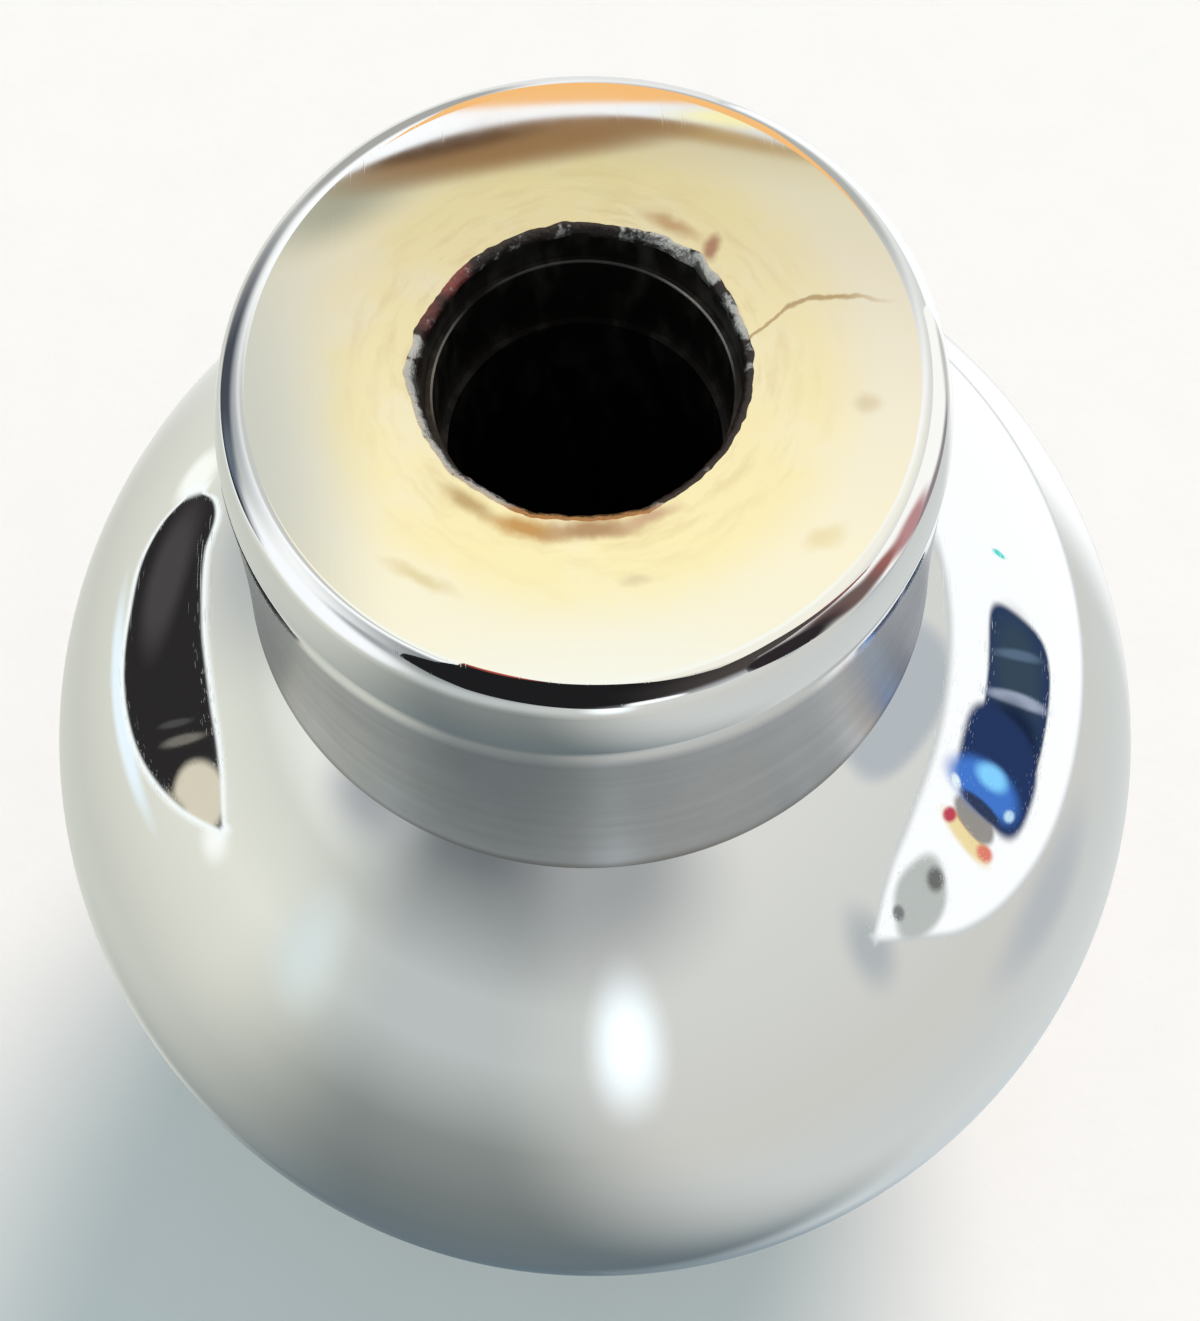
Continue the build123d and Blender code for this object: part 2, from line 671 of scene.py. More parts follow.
@dataclass(frozen=True)
class SocketSkin:
    """Moulded ABS inside the hole, thinly and patchily plated: dark, with a dull gleam.

    The corner of the lead-in's ledge has kept its metal here and there, and a thin arc on it is painted
    lighter as a highlight, strongest at the upper right.
    """

    name: str = "thin_plated_socket"
    tint: str = "#211C19"
    film: str = "#4A4642"
    # The corner's kept metal, painted lighter as a highlight
    corner_metal_and_highlight: str = "#B9B4AC"
    corner_reach: float = 0.05
    # Where the corner's arc is painted as a highlight, and how strongly
    corner_highlight_spots: tuple[Spot, ...] = (
        Spot(2.75, 1.9, 1.3, 1.3, softness=1.2, strength=1.0),
        Spot(-3.1, 1.0, 0.5, 1.3, softness=1.2, strength=0.5),
        Spot(0.2, 3.2, 2.6, 0.6, softness=1.2, strength=0.3),
    )
    roughness: Point = (0.28, 0.5)
    metallic: float = 0.5
    # The film of metal lies in upright streaks: the noise is looked up less often along Z
    flow_size: float = 0.6
    flow_stretch: float = 0.35
    film_cut: Point = (0.5, 0.75)
    # The moulded wall's real grain is finer. It is drawn as coarse as it needs to show.
    grain_size: float = 0.14
    grain_depth: float = 0.006

    def make(self) -> bpy.types.Material:
        """Build the material.

        Returns:
            The material.
        """
        material, add, shader, place = start_material(self.name)
        upright = {"Vector": place, "Scale": (1.0, 1.0, self.flow_stretch)}
        flow = {"Vector": add("Mapping", upright), "Scale": 1.0 / self.flow_size, "Detail": 3.0}
        streaks = add("TexNoise", flow)
        none, full = self.film_cut
        film = add("MapRange", {"Value": streaks, "From Min": none, "From Max": full})
        colour: Tone = linear(self.tint)
        # Over the film, the corner's arc gets its painted highlight
        for share, over in ((film, self.film), (self.corner(add, place), self.corner_metal_and_highlight)):
            layers = {0: share, 6: colour, 7: linear(over)}
            colour = add("Mix", layers, 2, data_type="RGBA")
        span = {"Value": streaks, "To Min": self.roughness[0], "To Max": self.roughness[1]}
        finish = {
            "Metallic": self.metallic,
            "Base Color": colour,
            "Roughness": add("MapRange", span),
            "Normal": grain(add, place, self.grain_size, self.grain_depth, 2.0),
        }
        feed(shader, finish)
        return material

    def corner(self, add: Add, place: Socket) -> Socket:
        """Find where the ledge's inner corner is painted lighter as a highlight.

        Args:
            add: Adds a node to the material.
            place: The place on the knob in millimetres.

        Returns:
            A share from 0 off the corner to 1 where the painted highlight is full.
        """
        knob = Knob()
        flat = flatten(add, place)
        radius = add("VectorMath", (flat,), 1, operation="LENGTH")
        height = add("SeparateXYZ", (place,), 2)
        level = knob.rim_height - knob.lead_in_depth
        near = (
            (radius, knob.throat_radius, self.corner_reach), (height, level, self.corner_reach),
        )
        shares = [add("Math", limits, operation="COMPARE") for limits in near]
        shares.append(strongest(add, flat, self.corner_highlight_spots))
        return reduce(lambda a, b: add("Math", (a, b), operation="MULTIPLY"), shares)


@dataclass(frozen=True)
class WhitePaper:
    """Matt white paper under the knob: even, with a faint tooth."""

    name: str = "white_paper"
    tint: str = "#FCFCFB"
    shade: str = "#F8F8F6"
    roughness: float = 0.9
    pulp_size: float = 2.5
    # Real paper's tooth is finer. It is drawn as coarse as it needs to show.
    tooth_size: float = 0.5
    tooth_depth: float = 0.01

    def make(self) -> bpy.types.Material:
        """Build the material.

        Returns:
            The material.
        """
        material, add, shader, place = start_material(self.name)
        pulp = {"Vector": place, "Scale": 1.0 / self.pulp_size, "Detail": 3.0}
        layers = {0: add("TexNoise", pulp), 6: linear(self.tint), 7: linear(self.shade)}
        finish = {
            "Base Color": add("Mix", layers, 2, data_type="RGBA"),
            "Roughness": self.roughness,
            "Normal": grain(add, place, self.tooth_size, self.tooth_depth, 2.0),
        }
        feed(shader, finish)
        return material


@dataclass(frozen=True)
class Chip:
    """A bite out of the hole's lip: where it is round the hole, how wide and how deep."""

    angle: float
    half_angle: float
    bite: float


@dataclass
class Knob:
    """The knob itself: one plated piece, turned about Z, with a stepped blind hole in its neck.

    All sizes are in millimetres and agree with the solid's. Only the lip of the hole departs from a
    turned shape, by the raggedness and the chips that its plating has.
    """

    ball_radius: float = 16.0
    front_face_radius: float = 6.0
    front_edge_blend: float = 0.6
    neck_reach: float = 22.34
    neck_radius: float = 8.32
    flare_radius: float = 85.0
    rim_edge_radius: float = 0.7
    brow_radius: float = 5.0
    brow_turn: float = 18.0
    socket_radius: float = 3.195
    socket_depth: float = 15.5
    throat_step: float = 0.17
    throat_depth: float = 3.4
    lead_in_step: float = 0.16
    lead_in_depth: float = 1.0
    mouth_chamfer: float = 0.22
    spokes: int = 288
    # The lip's raggedness: its depth, then the sizes of a broad and a fine wave and their shares
    ragged: float = 0.05
    ragged_sizes: Point = (0.7, 0.2)
    ragged_shares: Point = (0.9, 0.8)
    # How far a bitten edge sinks, as a share of the bite
    sink_share: float = 0.5
    chips: tuple[Chip, ...] = (
        Chip(59.0, 7.0, 0.16),
        Chip(46.0, 5.0, 0.20),
        Chip(36.0, 4.0, 0.07),
        Chip(179.0, 8.0, 0.12),
        Chip(163.0, 4.0, 0.06),
        Chip(-165.0, 30.0, 0.07),
        Chip(-142.0, 5.0, 0.06),
        Chip(-110.0, 6.0, 0.05),
        Chip(-70.0, 7.0, 0.05),
        Chip(95.0, 4.0, 0.05),
    )

    def __post_init__(self) -> None:
        """Work out the heights and radii that follow from the given sizes."""
        self.ball_height = sqrt(self.ball_radius**2 - self.front_face_radius**2)
        self.rim_height = self.ball_height + self.neck_reach
        turn = radians(self.brow_turn)
        self.face_radius = (
            self.neck_radius - self.brow_radius * (1 - cos(turn)) - self.rim_edge_radius * cos(turn)
        )
        self.brow_height = (
            self.rim_height - self.rim_edge_radius * (1 - sin(turn)) - self.brow_radius * sin(turn)
        )
        self.throat_radius = self.socket_radius + self.throat_step
        self.lead_in_radius = self.throat_radius + self.lead_in_step
        self.mouth_radius = self.lead_in_radius + self.mouth_chamfer
        self.foot_radius, self.foot_height = self.foot()

    def foot(self) -> Point:
        """Find where the flare meets the ball.

        Returns:
            The radius and the height above the bench.
        """
        centre = (self.neck_radius + self.flare_radius, self.brow_height - self.ball_height)
        away = hypot(*centre)
        along = (self.ball_radius**2 - self.flare_radius**2 + away**2) / (2 * away)
        across = sqrt(self.ball_radius**2 - along**2)
        unit = (centre[0] / away, centre[1] / away)
        return (
            unit[0] * along - unit[1] * across,
            unit[1] * along + unit[0] * across + self.ball_height,
        )

    @staticmethod
    def sweep(middle: Point, radius: float, start: float, end: float, steps: int) -> list[Point]:
        """Points along an arc in the half section, from start to end in degrees, both included."""
        turns = (radians(start + (end - start) * i / steps) for i in range(steps + 1))
        return [(middle[0] + radius * cos(t), middle[1] + radius * sin(t)) for t in turns]

    @staticmethod
    def run(start: Point, end: Point, steps: int) -> list[Point]:
        """Points along a straight run, both ends included."""
        (a, b), (c, d) = start, end
        return [(a + (c - a) * i / steps, b + (d - b) * i / steps) for i in range(steps + 1)]

    def grip(self) -> list[Point]:
        """Lay out the front face, its blend and the ball, up to the neck's foot.

        Each part's last number is how many steps it is drawn in, here and in stretches.

        Returns:
            The (radius, height) points from the axis on.
        """
        reach = self.ball_radius - self.front_edge_blend
        blend_z = self.front_edge_blend
        blend_r = sqrt(reach**2 - (self.ball_height - blend_z) ** 2)
        tilt = degrees(atan2(blend_z - self.ball_height, blend_r))
        foot_tilt = degrees(atan2(self.foot_height - self.ball_height, self.foot_radius))
        return (
            self.run((0.0, 0.0), (blend_r, 0.0), 5)
            + self.sweep((blend_r, blend_z), blend_z, -90, tilt, 6)[1:]
            + self.sweep((0.0, self.ball_height), self.ball_radius, tilt, foot_tilt, 96)[1:]
        )

    def stretches(self) -> list[tuple[Zone, list[Point]]]:
        """Lay out the half section from the front face's middle round to the hole's floor.

        Returns:
            Each stretch's zone and its (radius, height) points. A stretch starts where the last
            one ended, and a hard edge runs between two stretches.
        """
        top = self.rim_height
        flare_middle = (self.neck_radius + self.flare_radius, self.brow_height)
        rise = self.foot_height - self.brow_height
        flare_end = degrees(atan2(rise, self.foot_radius - flare_middle[0]))
        brow_middle = (self.neck_radius - self.brow_radius, self.brow_height)
        edge_middle = (self.face_radius, top - self.rim_edge_radius)
        lip_middle = (self.mouth_radius, top - self.mouth_chamfer)
        lead_in, throat, bore = self.lead_in_radius, self.throat_radius, self.socket_radius
        ledge, shoulder, floor = (
            top - depth for depth in (self.lead_in_depth, self.throat_depth, self.socket_depth)
        )
        steps = (
            ((lead_in, top - self.mouth_chamfer), (lead_in, ledge), 5),
            ((lead_in, ledge), (throat, ledge), 2),
            ((throat, ledge), (throat, shoulder), 6),
            ((throat, shoulder), (bore, shoulder), 2),
            ((bore, shoulder), (bore, floor), 16),
            ((bore, floor), (0.0, floor), 3),
        )
        return [
            (Zone.PLATING, self.grip()),
            (Zone.NECK, self.sweep(flare_middle, self.flare_radius, 360 + flare_end, 180, 24)),
            (Zone.PLATING, self.sweep(brow_middle, self.brow_radius, 0, self.brow_turn, 10)),
            (Zone.PLATING, self.sweep(edge_middle, self.rim_edge_radius, self.brow_turn, 90, 14)),
            (Zone.FACE, self.run((self.face_radius, top), (self.mouth_radius, top), 14)),
            (Zone.LIP, self.sweep(lip_middle, self.mouth_chamfer, 90, 180, 7)),
            *((Zone.SOCKET, self.run(*step)) for step in steps),
        ]

    def chipped(self, radius: float, height: float, turn: float) -> Point:
        """Move a point of the lip to where its ragged, chipped edge has it.

        Args:
            radius: The point's distance from the axis.
            height: The point's height above the bench.
            turn: The point's angle round the axis, in radians.

        Returns:
            The moved radius and height. Points away from the lip stay.
        """
        depth = self.rim_height - height
        if radius > self.mouth_radius + TINY or depth > self.lead_in_depth - TINY:
            return radius, height
        fade = 1.0 - depth / self.lead_in_depth
        place = Vector((cos(turn), sin(turn), 0.0)) * self.mouth_radius
        place.z = depth
        waves = zip(self.ragged_shares, self.ragged_sizes)
        bite = self.ragged * sum(share * noise.noise(place / size) for share, size in waves)
        for chip in self.chips:
            away = (degrees(turn) - chip.angle + 180.0) % 360.0 - 180.0
            bite += chip.bite * exp(-((away / chip.half_angle) ** 2))
        down = min(max(depth, 0.0) / self.mouth_chamfer, 1.0)
        sink = self.sink_share * abs(bite) * sin(radians(90.0) * down)
        return radius + fade * bite, height - fade * sink

    def build(self) -> bpy.types.Object:
        """Turn the half section about Z into one closed mesh.

        Returns:
            The knob, at the origin, with one material slot per zone.
        """
        skin = bmesh.new()
        turns = [tau * i / self.spokes for i in range(self.spokes)]
        rings: list[tuple[Zone, bool, list[bmesh.types.BMVert]]] = []
        for zone, points in self.stretches():
            for step, (radius, height) in enumerate(points):
                if step == 0 and rings:
                    rings[-1] = (rings[-1][0], True, rings[-1][2])
                    continue
                if radius < TINY:
                    ring = [skin.verts.new((0.0, 0.0, height * MM))]
                else:
                    ring = []
                    for turn in turns:
                        r, z = self.chipped(radius, height, turn)
                        ring.append(skin.verts.new((r * cos(turn) * MM, r * sin(turn) * MM, z * MM)))
                rings.append((zone, False, ring))
        for (_, hard, low), (zone, _, high) in zip(rings, rings[1:]):
            for i in range(self.spokes):
                j = (i + 1) % self.spokes
                if len(low) == 1:
                    corners = (low[0], high[j], high[i])
                elif len(high) == 1:
                    corners = (low[i], low[j], high[0])
                else:
                    corners = (low[i], low[j], high[j], high[i])
                face = skin.faces.new(corners)
                face.material_index = zone.value
                face.smooth = True
            if hard:
                for i in range(self.spokes):
                    skin.edges.get((low[i], low[(i + 1) % self.spokes])).smooth = False
        finishes = (BrightPlating(), SatinPlating(), WornFace(), ChippedLip(), SocketSkin())
        knob = put_in_scene(skin, "knob_skin", *(finish.make() for finish in finishes))
        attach(knob, "root")
        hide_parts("knob")
        return knob


@dataclass
class Bench:
    """The pale surface the knob stands on."""

    radius: float = 900.0
    drop: float = 0.01
    sides: int = 96

    def build(self) -> bpy.types.Object:
        """Make the floor, which the metal doesn't mirror.

        Returns:
            The floor.
        """
        sheet = bmesh.new()
        bmesh.ops.create_circle(sheet, cap_ends=True, segments=self.sides, radius=self.radius * MM)
        bmesh.ops.translate(sheet, verts=sheet.verts, vec=(0.0, 0.0, -self.drop * MM))
        bench = put_in_scene(sheet, "bench", WhitePaper().make())
        bench.visible_glossy = False
        return bench


@dataclass(frozen=True)
class Opening:
    """A gap in the tent's wall between two edges.

    Each edge is a smooth line of (share of the width, elevation), and the angles are in degrees.
    """

    start: float
    end: float
    top: tuple[Point, ...]
    bottom: tuple[Point, ...]
    colour: str
    hem: str
    hem_width: float
    inside: tuple[Spot, ...] = ()
    softness: float = 1.2

    def depth(self, add: Add, azimuth: Socket, elevation: Socket) -> Socket:
        """Find how deep a direction lies inside the opening.

        Args:
            add: Adds a node to the world.
            azimuth: The direction's azimuth in degrees.
            elevation: The direction's elevation in degrees.

        Returns:
            The degrees to the nearest edge, less than 0 outside.
        """
        share = add("MapRange", {"Value": azimuth, "From Min": self.start, "From Max": self.end})
        edges = []
        for line in (self.top, self.bottom):
            curve = tuple((x, climb(height)) for x, height in line)
            place = add("FloatCurve", {1: share}, curve=curve)
            edges.append(add("Math", (place, 180.0, -90.0), operation="MULTIPLY_ADD"))
        pairs = (
            (edges[0], elevation), (elevation, edges[1]), (azimuth, self.start), (self.end, azimuth),
        )
        gaps = [add("Math", pair, operation="SUBTRACT") for pair in pairs]
        return reduce(lambda a, b: add("Math", (a, b), operation="MINIMUM"), gaps)


class TentSide(Enum):
    """The stretches of the tent's wall, each with its own fade from the nadir to the zenith."""

    LEFT = "left"
    FRONT = "front"
    RIGHT = "right"
    BACK = "back"


@dataclass
class LightTent:
    """The pale tent round the knob: a wall that fades with height, two openings and soft lamps.

    Only the knob's metal mirrors it. The camera sees plain white, and the paper is lit by the sun
    and by an even light of the tent's mean colour.
    """

    ambient: float = 0.56
    ambient_tone: Colour = (0.80, 0.955, 1.0, 1.0)
    sun: float = 3.2
    sun_spread: float = 31.0
    sun_tone: tuple[float, float, float] = (1.0, 0.84, 0.78)
    sun_tip: float = -56.0
    sun_turn: float = -26.0
    # Each side, and the azimuths between which it takes over from the side before
    side_blends: tuple[tuple[TentSide, float, float], ...] = (
        (TentSide.RIGHT, -28.0, 0.0), (TentSide.BACK, 125.0, 165.0), (TentSide.BACK, -135.0, -165.0),
    )
    # The viewer's shade: its azimuth, then where it begins and is full to the sides and in front,
    # as parts of a direction of length 1
    shade_middle: float = -28.0
    shade_edges: Point = (0.62, 0.14)
    shade_front: Point = (-0.02, 0.16)
    # From here round the back, a spot is laid on the chart whose seam is at the front
    back_starts: float = 150.0
    # The depth in degrees from which a hem is whole
    hem_inner: float = -0.4
    # What adds a node to the world, and the sockets of a ray's direction, which build fills in
    add: Add = field(init=False)
    way: Socket = field(init=False)
    chart: Socket = field(init=False)
    back_chart: Socket = field(init=False)
    azimuth: Socket = field(init=False)
    elevation: Socket = field(init=False)
    height_share: Socket = field(init=False)
    walls: dict[TentSide, Stops] = field(
        default_factory=lambda: {
            TentSide.LEFT: (
                (-90, "#5E6E77"), (-82, "#5C6A70"), (-76, "#7E8888"), (-71, "#C0C2BA"), (-60, "#C2C4BB"),
                (-42, "#C4C5BC"), (-22, "#D6D6CA"), (0, "#E2E2D6"), (20, "#D4D5CA"), (35, "#F2F3EE"),
                (60, "#FFFFFF"),
            ),
            TentSide.FRONT: (
                (-90, "#5B6A71"), (-80, "#5E6A70"), (-64, "#667073"), (-48, "#727877"),
                (-26, "#868B88"), (-2, "#B9BEBC"), (12, "#BBBFBD"), (40, "#6E7274"), (60, "#6E7274"),
            ),
            TentSide.RIGHT: (
                (-90, "#69767C"), (-83, "#87939A"), (-76, "#BCC3C6"), (-62, "#C9CCCA"), (-42, "#C8CAC7"),
                (-25, "#CCCAC4"), (10, "#D2D2CD"), (40, "#DAD9D4"), (60, "#F4F0E2"),
            ),
            TentSide.BACK: (
                (-90, "#66737A"), (-75, "#B4B8B8"), (-50, "#DCDCD8"), (-5, "#E4E4E2"), (28, "#FFFFFF"),
            ),
        }
    )
    left_opening: Opening = Opening(
        start=-128.0,
        end=-77.0,
        top=((0.0, -8.0), (0.04, -2.0), (0.2, 1.5), (0.4, 5.0), (0.66, 7.6), (0.86, 6.5), (1.0, 2.0)),
        bottom=((0.0, -12.0), (0.05, -17.5), (0.25, -19.8), (0.5, -18.6), (0.75, -11.5), (1.0, 1.0)),
        colour="#2A2828",
        hem="#FBFFFD",
        hem_width=2.6,
        inside=(
            Spot(-117.0, -9.0, 9.0, 6.0, "#484446", softness=0.9),
            Spot(-92.2, -1.5, 0.7, 6.4, "#76716A", tilt=-15.0, softness=0.8),
            Spot(-95.2, -3.0, 0.5, 5.0, "#4C4A4A", tilt=-15.0, softness=0.8),
            Spot(-83.2, -1.2, 5.2, 7.8, "#D6CEB9", tilt=-14.0, softness=0.35),
            Spot(-84.5, -8.5, 4.0, 2.0, "#A39C8C", tilt=35.0, softness=0.8),
        ),
    )
    right_opening: Opening = Opening(
        start=49.5,
        end=165.0,
        top=((0.0, 4.0), (0.06, 10.5), (0.14, 13.8), (0.25, 15.0), (0.6, 12.0), (1.0, 6.0)),
        bottom=((0.0, 3.0), (0.06, -5.0), (0.12, -13.0), (0.24, -21.5), (0.4, -26.0), (1.0, -34.0)),
        colour="#FFFFFF",
        hem="#C4C7C8",
        hem_width=1.6,
        softness=2.6,
        inside=(
            Spot(59.3, 1.5, 5.6, 7.2, "#B9BDB9", tilt=-20.0, squareness=2.6, softness=0.35),
            Spot(63.2, 1.3, 1.6, 2.6, "#6E6E6C", softness=0.9),
            Spot(54.8, 3.6, 1.0, 1.8, "#7C7E7E", softness=0.8),
            Spot(72.0, -0.5, 1.8, 8.4, "#F1DCA6", softness=0.6),
            Spot(72.3, 6.2, 1.2, 1.8, "#C2485A", tilt=20.0, softness=0.7),
            Spot(72.5, -6.8, 1.1, 2.6, "#E2806C", tilt=10.0, softness=0.8),
            Spot(73.2, 0.2, 0.5, 4.5, "#C9803E", softness=0.9),
            Spot(96.0, -4.9, 11.0, 9.5, "#2A3B5C", tilt=-7.0, squareness=4.5, softness=0.12),
            Spot(98.5, -4.5, 7.5, 7.0, "#374857", tilt=-4.0, softness=1.0),
            Spot(101.2, -4.5, 0.7, 7.0, "#5A6E84", tilt=12.0, softness=1.0),
            Spot(94.9, -4.6, 0.95, 9.4, "#9EA7BC", tilt=11.0, softness=0.8),
            Spot(89.5, -4.5, 4.5, 8.0, "#1C2842", tilt=6.0, softness=0.8),
            Spot(84.0, -2.6, 7.5, 12.0, "#26375F", tilt=-4.0, squareness=3.0, softness=0.2),
            Spot(74.9, -0.4, 2.3, 7.0, "#97938E", softness=0.3),
            Spot(79.8, 0.0, 3.6, 11.0, "#4478CC", tilt=6.0, softness=0.6),
            Spot(81.9, -1.0, 1.7, 4.6, "#86D2FF", tilt=8.0, softness=0.9),
            Spot(77.2, 7.8, 0.9, 1.6, "#E8F4FB", tilt=-20.0, softness=0.8),
            Spot(79.6, -9.2, 0.8, 1.6, "#BFE0F4", tilt=20.0, softness=0.9),
            Spot(77.0, -1.0, 1.0, 7.0, "#333D58", tilt=3.0, softness=0.6),
            Spot(115.2, -4.0, 0.5, 1.6, "#5FDCD2", tilt=-10.0, softness=0.5),
        ),
    )
    ceiling: Stops = (
        (-90, "#D2C5A0"), (54.4, "#D2C5A0"), (55.4, "#E1D7B8"), (57, "#E7DCC2"), (59, "#F1E7CE"),
        (61, "#F9EFD4"), (64, "#FEF4D4"), (66, "#FCF5DA"), (68, "#FBFAEE"),
    )
    ceiling_shape: Spot = Spot(179.5, 75.0, 36.0, 21.05, softness=0.006)
    over_ceiling: tuple[Spot, ...] = (
        Spot(190.3, 55.3, 3.4, 0.75, "#A9A791", tilt=8.0, softness=1.5),
        Spot(174.0, 54.3, 6.0, 0.3, "#B79A6A", tilt=-4.0, softness=1.0),
        Spot(182.3, 54.34, 6.4, 0.6, "#957450", tilt=3.5, squareness=2.5, softness=1.0),
        Spot(185.4, 54.42, 3.6, 0.22, "#60462F", tilt=3.5, softness=1.3),
        Spot(199.0, 59.0, 6.0, 7.5, "#CFCFC2", softness=1.2),
    )
    on_walls: tuple[Spot, ...] = (
        Spot(3.6, 4.5, 4.6, 13.0, "#F4FCFF", softness=1.7, strength=1.2),
        Spot(-53.0, 1.0, 4.5, 11.0, "#EAF3F0", softness=1.8, strength=0.82),
        Spot(84.0, 27.0, 17.0, 9.5, "#B4B9BD", tilt=-22.0, squareness=3.0, softness=0.3),
        Spot(80.0, -33.0, 12.0, 7.0, "#B6B9BC", tilt=-10.0, softness=1.3),
        Spot(-104.0, -21.4, 15.0, 2.4, "#EAF7FD", tilt=13.0, softness=0.9),
        Spot(-131.0, -12.0, 3.5, 5.0, "#FBFCF4", softness=0.9),
        Spot(-76.4, -1.6, 2.4, 3.4, "#FCFDF6", softness=1.7),
        Spot(-124.0, 27.0, 22.0, 22.0, "#A6A9AC", softness=1.4),
        Spot(4.0, 45.0, 20.0, 20.0, "#9FA1A1", softness=1.6),
        Spot(-62.0, 40.0, 12.0, 11.0, "#A0A2A5", softness=1.2),
        Spot(47.8, 2.5, 3.4, 9.0, "#B2B6B7", softness=1.3),
        Spot(163.0, 34.0, 18.0, 22.0, "#AEAFA9", softness=0.8),
        Spot(198.0, 11.0, 13.0, 24.0, "#A8A6A1", softness=0.6),
        Spot(143.0, -36.0, 14.0, 20.0, "#FFFFFF", softness=1.2),
        Spot(176.0, 38.5, 15.0, 15.16, "#F8BE7A", squareness=8.0, softness=0.012),
        Spot(172.2, 53.95, 3.4, 0.2, "#FEF5B4", softness=1.0),
        Spot(216.0, 64.0, 15.0, 14.0, "#C6C7C1", softness=0.8),
    )

    def build(self) -> None:
        """Make the world that stands for the tent, and the sun that lights the paper."""
        world = bpy.data.worlds.new("light_tent")
        bpy.context.scene.world = world
        world.use_nodes = True
        world.node_tree.nodes.clear()
        self.add = add = partial(add_node, world.node_tree)
        self.chart_directions()
        mirrored = self.mirrored_light()
        even = add("Background", {"Color": self.ambient_tone, "Strength": self.ambient})
        seen = add("MixShader", (add("LightPath", out=3), even, mirrored))
        white = add("Background", {"Color": (1.0, 1.0, 1.0, 1.0)})
        seen = add("MixShader", (add("LightPath"), seen, white))
        feed(world.node_tree.nodes.new("ShaderNodeOutputWorld"), {0: seen})
        lamp = bpy.data.lights.new("soft_key", "SUN")
        lamp.energy = self.sun
        lamp.color = self.sun_tone
        lamp.angle = radians(self.sun_spread)
        key = bpy.data.objects.new("soft_key", lamp)
        key.visible_glossy = False
        key.rotation_euler = (radians(self.sun_tip), 0.0, radians(self.sun_turn))
        bpy.context.scene.collection.objects.link(key)

    def chart_directions(self) -> None:
        """Turn a ray's direction into charts of azimuth and elevation in degrees.

        One chart has its seam at the back, at 180 degrees, and the other at the front, at 0.
        """
        add = self.add
        self.way = add("TexCoord")
        east, north, up = add("SeparateXYZ", (self.way,)).node.outputs
        near = add("Math", (north, -1.0), operation="MULTIPLY")
        around = add("Math", (east, near), operation="ARCTAN2")
        above = add("Math", (up,), operation="ARCSINE")
        turned = add("CombineXYZ", (around, above))
        self.chart = add("VectorMath", {0: turned, "Scale": degrees(1.0)}, operation="SCALE")
        self.azimuth, self.elevation, _ = add("SeparateXYZ", (self.chart,)).node.outputs
        # The azimuth wraps round to 0 to 360, and the elevation is always inside its limits
        limits = ((360.0, 91.0, 1.0), (0.0, -91.0, -1.0))
        self.back_chart = add("VectorMath", (self.chart, *limits), operation="WRAP")
        span = {"Value": self.elevation, "From Min": -90.0, "From Max": 90.0}
        self.height_share = add("MapRange", span)

    def chart_for(self, spot: Spot) -> Socket:
        """Choose the chart whose seam is away from a spot."""
        return self.back_chart if spot.x > self.back_starts else self.chart

    def fade(self, stops: Stops) -> Socket:
        """Blend from colour to colour with the height.

        Args:
            stops: Pairs of an elevation in degrees and a hex colour, from the lowest up.

        Returns:
            The colour.
        """
        places = tuple((climb(height), colour) for height, colour in stops)
        zenith = (1.0, stops[-1][1])
        return self.add("ValToRGB", (self.height_share,), stops=(*places, zenith))

    def wall(self) -> Socket:
        """Blend the wall's sides into each other, and the viewer's shade over them.

        Returns:
            The wall's colour.
        """
        add = self.add
        sides = {side: self.fade(stops) for side, stops in self.walls.items()}
        colour = sides[TentSide.LEFT]
        for side, start, end in self.side_blends:
            span = {"Value": self.azimuth, "From Min": start, "From Max": end}
            share = add("MapRange", span, interpolation_type="SMOOTHSTEP")
            colour = add("Mix", {0: share, 6: colour, 7: sides[side]}, 2, data_type="RGBA")
        c, s = cos(radians(self.shade_middle)), sin(radians(self.shade_middle))
        sideways, forwards = (
            add("VectorMath", (self.way, axis), 1, operation="DOT_PRODUCT")
            for axis in ((c, s, 0.0), (s, -c, 0.0))
        )
        aside = add("Math", (sideways,), operation="ABSOLUTE")
        shares = []
        for value, (none, full) in ((aside, self.shade_edges), (forwards, self.shade_front)):
            span = {"Value": value, "From Min": none, "From Max": full}
            shares.append(add("MapRange", span, interpolation_type="SMOOTHSTEP"))
        shade = add("Math", shares, operation="MULTIPLY")
        layers = {0: shade, 6: colour, 7: sides[TentSide.FRONT]}
        return add("Mix", layers, 2, data_type="RGBA")

    def mirrored_light(self) -> Socket:
        """Lay the tent out in layers: wall, hems, ceiling, then what shows through the openings.

        The layers are lights that are mixed, so that what is hidden isn't worked out.

        Returns:
            The light that the metal mirrors.
        """
        add = self.add
        colour = self.wall()
        for spot in self.on_walls:
            colour = spot.paint(add, self.chart_for(spot), colour)
        openings = (self.left_opening, self.right_opening)
        depths = [opening.depth(add, self.azimuth, self.elevation) for opening in openings]
        for opening, depth in zip(openings, depths):
            span = {"Value": depth, "From Min": -opening.hem_width, "From Max": self.hem_inner}
            share = add("MapRange", span, interpolation_type="SMOOTHSTEP")
            layers = {0: share, 6: colour, 7: linear(opening.hem)}
            colour = add("Mix", layers, 2, data_type="RGBA")
        light = add("Background", (colour, LAMP_LEVEL))
        roof = self.fade(self.ceiling)
        for spot in self.over_ceiling:
            roof = spot.paint(add, self.back_chart, roof)
        share = self.ceiling_shape.mask(add, self.back_chart)
        light = add("MixShader", (share, light, add("Background", (roof, LAMP_LEVEL))))
        for opening, depth in zip(openings, depths):
            view: Tone = linear(opening.colour)
            for spot in opening.inside:
                view = spot.paint(add, self.chart, view)
            half = opening.softness / 2
            span = {"Value": depth, "From Min": -half, "From Max": half}
            share = add("MapRange", span, interpolation_type="SMOOTHSTEP")
            light = add("MixShader", (share, light, add("Background", (view, LAMP_LEVEL))))
        return light


